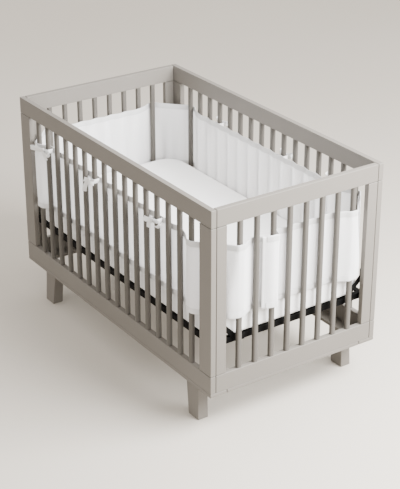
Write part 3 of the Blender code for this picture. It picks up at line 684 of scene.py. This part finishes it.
def satin(name, dark, pale):
    """White satin: fine ribs across the strip under a soft sheen."""
    shine = {"Sheen_Weight": 0.4, "Specular_IOR_Level": 0.5}
    material, tree, shader = finish_of(name, pale, roughness=0.42, **shine)
    place = place_in(tree, "UV")
    waves = {"Vector": place, "Scale": 420.0, "Distortion": 1.5}
    ribs = wire(tree, "ShaderNodeTexWave", waves, bands_direction="X").outputs[1]
    clouds = noise(tree, place, scale=40.0, detail=3.0)
    tone = tone_between(tree, shader, clouds, dark, pale)
    relief(tree, shader, ribs, strength=0.25, distance=0.0002)
    let_through(tree, shader, tone, share=0.34)
    return material


# The bindings' satin is darker than the ribbon's: painted shade, deepest along the top binding and fainter
# along the hem and the end.
SHADED_TOP_SATIN = satin("satin_top_binding_painted_shade", (0.63, 0.63, 0.63), (0.71, 0.71, 0.71))
SHADED_HEM_SATIN = satin("satin_hem_binding_painted_shade", (0.70, 0.70, 0.70), (0.78, 0.78, 0.78))


def folded_section(height):
    """The folded strip's section, as (from the folded edge, offset): up one leaf, round, down.

    Each leaf is pinched at the stitches and swells between them and the fold, which is a
    half circle.
    """
    leaf = [height, height - 0.0012, height - STITCH_INSET, height - 0.0048, 0.55 * height, 0.25 * height]
    swell = BINDING_SWELL * np.array([0.86, 0.74, 0.56, 0.82, 1.0, 1.02])
    turn = np.linspace(-math.pi / 2, math.pi / 2, 7)
    inner = np.stack([leaf, -swell], axis=1)
    bend = np.stack([BINDING_SWELL * (1 - np.cos(turn)), BINDING_SWELL * np.sin(turn)], axis=1)
    return np.vstack([inner, bend, inner[::-1] * (1, -1)])


def edge_binding(name, edge, inwards, material):
    """The folded section carried along the whole liner, rippled a little by its stitches."""
    section = folded_section(BINDING_HEIGHT)[::inwards]
    places, depth = np.meshgrid(along_cloth, section[:, 0])
    ripple = 1 + 0.12 * np.sin(2 * math.pi * places / RIPPLE_PITCH + 2 * np.sin(23 * places))
    points = cloth_points(places, edge - inwards * depth, section[:, 1:] * ripple)
    across = np.broadcast_to(np.linspace(0, 2 * BINDING_HEIGHT, len(section))[:, None], places.shape)
    made = piece(name, points.reshape(-1, 3), grid_faces(*places.shape), [material],
                 uv=np.stack([places, across], axis=-1).reshape(-1, 2), sharp=180.0)
    add_wall(made, SATIN_THICK)
    return made


top_binding = edge_binding("top_binding", LINER_TOP, 1, SHADED_TOP_SATIN)
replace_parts(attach(top_binding, "root"), "liner_top_binding")
bottom_binding = edge_binding("bottom_binding", LINER_LOW, -1, SHADED_HEM_SATIN)
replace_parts(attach(bottom_binding, "root"), "liner_bottom_binding")

end_section = folded_section(END_HEIGHT)
depth, heights = np.meshgrid(end_section[:, 0], np.linspace(LINER_LOW, LINER_TOP, 40))
end_offset = np.broadcast_to(end_section[:, 1], depth.shape) * END_SWELL
end_points = cloth_points(LINER_LENGTH + END_REACH - depth, heights, end_offset)
end_binding = piece("end_binding", end_points.reshape(-1, 3), grid_faces(*depth.shape), [SHADED_HEM_SATIN],
                    uv=np.stack([heights, depth], axis=-1).reshape(-1, 2), sharp=180.0)
add_wall(end_binding, SATIN_THICK)
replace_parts(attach(end_binding, "root"), "liner_end_binding")


# ------------------------------------------------------------------ ribbon ties
# Satin ribbons 17 mm wide, sewn to the top binding by their middles.  Each goes round one
# slat and is tied outside it in a small bow with its free ends hanging.
RIBBON_WIDTH, RIBBON_THICK = 0.017, 0.0009
TIE_HEIGHT = 0.7165
KNOT = (0.0075, 0.0058, 0.0098)     # half its size along, out and up
KNOT_OUT, KNOT_ASIDE = 0.0082, 0.0009           # its middle from the slat's outer face and edge
KNOT_RIBBON = 0.06                  # length of ribbon in the knot
RING_CLEAR, RING_ROUND = 0.0028, 0.0045         # ring from the panel and the slat, and its corners
RIBBON_SATIN = satin("satin_ribbon", (0.74, 0.74, 0.74), (0.84, 0.84, 0.84))


def ribbon(centre, across, cup=0.0, closed=False):
    """A flat section with round edges, carried along a path and kept square to it.

    centre and across are rows of points and of unit width directions.  cup bows the
    section by that many metres at its edges.  Each point's place along and across the
    ribbon comes back with the shape, and so does the ribbon's length.
    """
    if closed:
        tangent = np.roll(centre, -1, axis=0) - np.roll(centre, 1, axis=0)
    else:
        tangent = np.gradient(centre, axis=0)
    tangent /= np.linalg.norm(tangent, axis=1, keepdims=True)
    across = across - tangent * (across * tangent).sum(axis=1, keepdims=True)
    across /= np.linalg.norm(across, axis=1, keepdims=True)
    facing = np.cross(tangent, across)
    front = np.array([(1.0, 0.0), (0.97, 0.8), (0.5, 1.0), (0.0, 1.0), (-0.5, 1.0), (-0.97, 0.8)])
    side, up = np.vstack([front, -front]).T[..., None]
    wide = side * RIBBON_WIDTH / 2
    thick = up * RIBBON_THICK / 2 + np.broadcast_to(cup, len(centre))[:, None, None] * side**2
    points = centre[:, None] + wide * across[:, None] + thick * facing[:, None]
    rows, columns = points.shape[:2]
    faces = grid_faces(rows, columns, True, True).tolist() if closed else closed_tube(rows, columns)
    length = np.linalg.norm(np.diff(centre, axis=0), axis=1).sum()
    uv = np.stack(np.meshgrid(np.linspace(0, length, rows), wide[:, 0], indexing="ij"), axis=-1)
    return points.reshape(-1, 3), faces, uv.reshape(-1, 2), length


def bow_loop(reach, rise, depth, lean, roll):
    """A drop shape whose narrow ends meet in the knot, leaning out, rising or drooping.

    The drop lies flat at a roll of 0, with its ribbon upright.  At 90 degrees it has turned
    about its own length, so that it stands up and its hole looks along the crib.
    """
    t = np.linspace(0.02, 0.98, 30)
    out = np.sin(math.pi * t)**1.15
    wave = np.sin(2 * math.pi * t)
    swell = depth / 2 * wave * np.sqrt(out)
    turn = math.radians(roll) * np.sqrt(out)
    centre = np.stack([reach * out, lean * np.sqrt(out) + swell * np.cos(turn),
                       rise * out**1.3 + swell * np.sin(turn)], axis=1)
    across = np.stack([0.12 * wave, -np.sin(turn) + 0.1 * wave, np.cos(turn)], axis=1)
    return ribbon(centre, across, cup=0.0012 * wave)


def bow_end(reach, drop, depth, twist):
    """A free end: it leaves the knot, bends over and hangs, turning a little as it goes."""
    t = np.linspace(0.0, 1.0, 18)
    centre = np.stack([reach * t, 0.002 + depth * np.sin(math.pi * t * 0.8), -drop * t**1.3], axis=1)
    direction = np.array([reach, 0.0, -drop]) / math.hypot(reach, drop)
    outwards = np.array([0.0, 1.0, 0.0])
    turn = (twist * t)[:, None]
    across = np.cos(turn) * np.cross(direction, outwards) + np.sin(turn) * outwards
    return ribbon(centre, across, cup=0.0008 * t)


def knot_shape():
    """A rounded block with four soft furrows that run over it from loop to loop."""
    up, around = np.meshgrid(np.linspace(-math.pi / 2, math.pi / 2, 13)[1:-1],
                             np.linspace(0, 2 * math.pi, 24, endpoint=False), indexing="ij")
    cos_up, sin_up, cos_around, sin_around = (
        np.sign(value) * np.abs(value)**0.72
        for value in (np.cos(up), np.sin(up), np.cos(around), np.sin(around)))
    furrow = 1 + 0.07 * np.cos(4 * around + 3 * np.sin(up))
    points = np.stack([KNOT[0] * cos_up * cos_around * furrow, KNOT[1] * cos_up * sin_around * furrow,
                       KNOT[2] * sin_up], axis=-1)
    uv = np.stack([around * KNOT[0], up * KNOT[2]], axis=-1)
    return points.reshape(-1, 3), closed_tube(*up.shape), uv.reshape(-1, 2), KNOT_RIBBON


def slat_ring():
    """The ribbon round the slat: a rounded rectangle in plan, each of its steps cut in three."""
    low, high = INNER_Y - INSIDE + RING_CLEAR, INNER_Y + SLAT_FACE + RING_CLEAR
    plan = rounded_outline(SLAT_WIDTH + 2 * RING_CLEAR, high - low, RING_ROUND, 5)
    step = np.roll(plan, -1, axis=0) - plan
    plan = np.stack([plan + share * step for share in (0.0, 1 / 3, 2 / 3)], axis=1).reshape(-1, 2)
    apart = np.append(True, np.linalg.norm(np.diff(plan, axis=0), axis=1) > 1e-5)
    centre = np.insert(plan[apart] + (0.0, (low + high) / 2), 2, 0.0, axis=1)
    return ribbon(centre, np.tile([0.0, 0.0, 1.0], (len(centre), 1)), closed=True)


# Each bow: its side, its slat, loops as (reach, rise, depth, lean, roll) and free ends as
# (reach, drop, depth, twist).
BOWS = {
    "front_1": (-1, FRONT_TIED[0], [(-0.084, -0.010, 0.010, 0.012, 0), (0.052, -0.004, 0.022, 0.006, -20)],
                [(0.030, 0.034, 0.004, -0.3), (-0.046, -0.012, 0.012, 0.2)]),
    "front_2": (-1, FRONT_TIED[1], [(-0.024, -0.004, 0.016, 0.006, 30), (0.030, -0.004, 0.026, 0.005, 15)],
                [(-0.032, 0.056, 0.006, -0.9)]),
    "front_3": (-1, FRONT_TIED[2], [(-0.032, -0.004, 0.024, 0.008, 40), (0.058, -0.002, 0.024, 0.005, -40)],
                [(-0.010, 0.032, 0.006, -0.5)]),
    "back_1": (1, BACK_TIED[0], [(-0.038, 0.008, 0.018, 0.006, 20), (0.042, 0.004, 0.020, 0.007, -20)],
               [(-0.020, 0.048, 0.006, 0.3)]),
    "back_2": (1, BACK_TIED[1], [(-0.042, 0.004, 0.020, 0.007, -20), (0.040, 0.008, 0.020, 0.006, 20)],
               [(0.022, 0.052, 0.006, -0.4)]),
    "back_3": (1, BACK_TIED[2], [(-0.040, 0.006, 0.020, 0.007, 30), (0.044, 0.004, 0.022, 0.007, -20)],
               [(-0.018, 0.050, 0.006, 0.3)]),
}
knot_at = np.array([-SLAT_WIDTH / 2 - KNOT_ASIDE, INNER_Y + SLAT_FACE + KNOT_OUT, 0.0])
for label, (side, slat, loops, ends) in BOWS.items():
    at_knot = [bow_loop(*loop) for loop in loops] + [bow_end(*end) for end in ends] + [knot_shape()]
    shapes = [slat_ring()] + [(points + knot_at, *more) for points, *more in at_knot]
    points, faces = mirrored(joined([shape[:2] for shape in shapes]), (1, side, 1))
    tie = piece(f"bow_{label}", points + (LONG_PLACES[slat], 0, TIE_HEIGHT), faces, [RIBBON_SATIN],
                uv=np.vstack([shape[2] for shape in shapes]), sharp=70.0)
    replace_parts(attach(tie, "root"), f"tie_{label}")


# ------------------------------------------------------------------ floor, light and camera
# A plain pale floor.  Daylight comes from windows at the right and behind, so the near end
# is bright, and the front is in its own shade with only the room's light on it.
FLOOR_HALF = 14.0
ROOM_TINT, ROOM_STRENGTH = (1.0, 0.955, 0.905, 1.0), 2.15
LENS, EYE = 102.39, (4.1378, -2.7803, 2.7899)
LOOKS_DOWN, TURNED_LEFT = 0.449, 0.9722         # radians from level, and from +Y


def plain_floor():
    """Matt off-white, with a slow drift in tone so that it is not one flat colour."""
    material, tree, shader = finish_of("plain_floor", (0.40, 0.37, 0.325), roughness=0.9)
    drift = noise(tree, place_in(tree), scale=0.6, detail=2.0)
    tone_between(tree, shader, drift, (0.385, 0.355, 0.31), (0.415, 0.385, 0.34))
    return material


floor_corners = FLOOR_HALF * np.array([(-1, -1, 0), (1, -1, 0), (1, 1, 0), (-1, 1, 0)])
floor = piece("floor", floor_corners, [(0, 1, 2, 3)], [plain_floor()])

world = bpy.data.worlds.new("room_light")
world.use_nodes = True
world.node_tree.nodes["Background"].inputs["Color"].default_value = ROOM_TINT
world.node_tree.nodes["Background"].inputs["Strength"].default_value = ROOM_STRENGTH
bpy.context.scene.world = world


def soft_light(name, place, target, size, power):
    """A white rectangular area light at a place, turned towards a target."""
    lamp = bpy.data.lights.new(name, "AREA")
    lamp.shape = "RECTANGLE"
    lamp.size, lamp.size_y = size
    lamp.energy = power
    made = bpy.data.objects.new(name, lamp)
    bpy.context.scene.collection.objects.link(made)
    made.location = place
    x, y, z = np.array(target) - np.array(place)
    made.rotation_euler = (math.atan2(math.hypot(x, y), -z), 0.0, math.atan2(y, x) - math.pi / 2)
    made.visible_camera = False


soft_light("window_right", place=(1.95, 0.90, 2.10), target=(0.4, 0.0, 0.6), size=(2.1, 1.7), power=560.0)
soft_light("window_behind", place=(0.4, 5.2, 1.9), target=(0.0, 0.0, 0.5), size=(3.0, 2.4), power=190.0)

eye = bpy.data.cameras.new("camera")
eye.sensor_width = 36.0
eye.lens = LENS
eye.clip_start, eye.clip_end = 0.05, 100.0
camera = bpy.data.objects.new("camera", eye)
bpy.context.scene.collection.objects.link(camera)
camera.location = EYE
camera.rotation_euler = (math.pi / 2 - LOOKS_DOWN, 0.0, TURNED_LEFT)
bpy.context.scene.camera = camera
